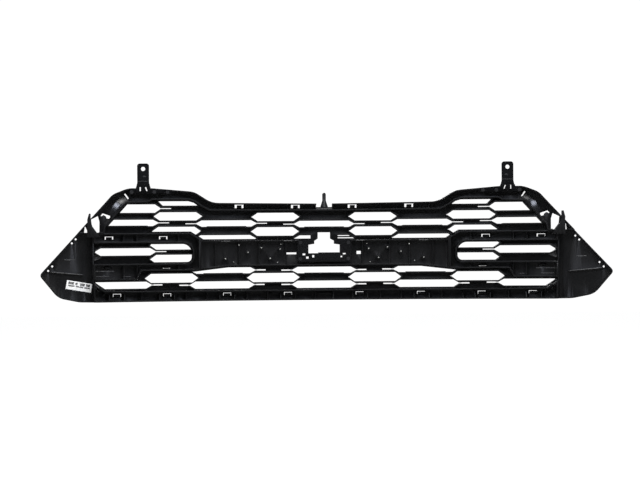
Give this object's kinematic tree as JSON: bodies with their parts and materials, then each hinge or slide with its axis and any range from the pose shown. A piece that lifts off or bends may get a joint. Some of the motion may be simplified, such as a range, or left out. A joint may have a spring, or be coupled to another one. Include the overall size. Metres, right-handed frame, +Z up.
{
  "type": "front grille",
  "caption": "Wide bumper grille with stretched hexagon mesh, pointed side wings, a centre bar with a stepped opening and two top mounting brackets.",
  "frame": {"origin": "middle of the underside of the lower rail, where it rests on the bumper's ledge", "axes": "+Z up, the front face looks towards -Y, +X is the left side of the vehicle"},
  "size_m": [1.2904, 0.1799, 0.314],
  "materials": {
    "moulding": "satin",
    "mesh": "satin",
    "trim": "gloss",
    "bracket": "satin",
    "fastener": "satin",
    "label": "matte"
  },
  "bodies": {
    "root": {"bracket_screws": "fastener", "centre_bar": "moulding", "centre_bar_cover": "trim", "centre_locating_pin": "moulding", "cover_stakes": "mesh", "edge_locator_left": "moulding", "edge_locator_right": "moulding", "frame_screws": "fastener", "lower_garnish": "trim", "lower_rail": "moulding", "mesh_lower": "mesh", "mesh_upper": "mesh", "mounting_bracket_left": "bracket", "mounting_bracket_right": "bracket", "opening_frame": "moulding", "parts_label": "label", "port_band_left": "moulding", "port_band_right": "moulding", "port_garnish_left": "trim", "port_garnish_right": "trim", "port_mesh_left": "mesh", "port_mesh_right": "mesh", "upper_garnish": "trim", "upper_rail": "moulding", "wing_panel_left": "moulding", "wing_panel_right": "moulding"}
  },
  "joints": []
}
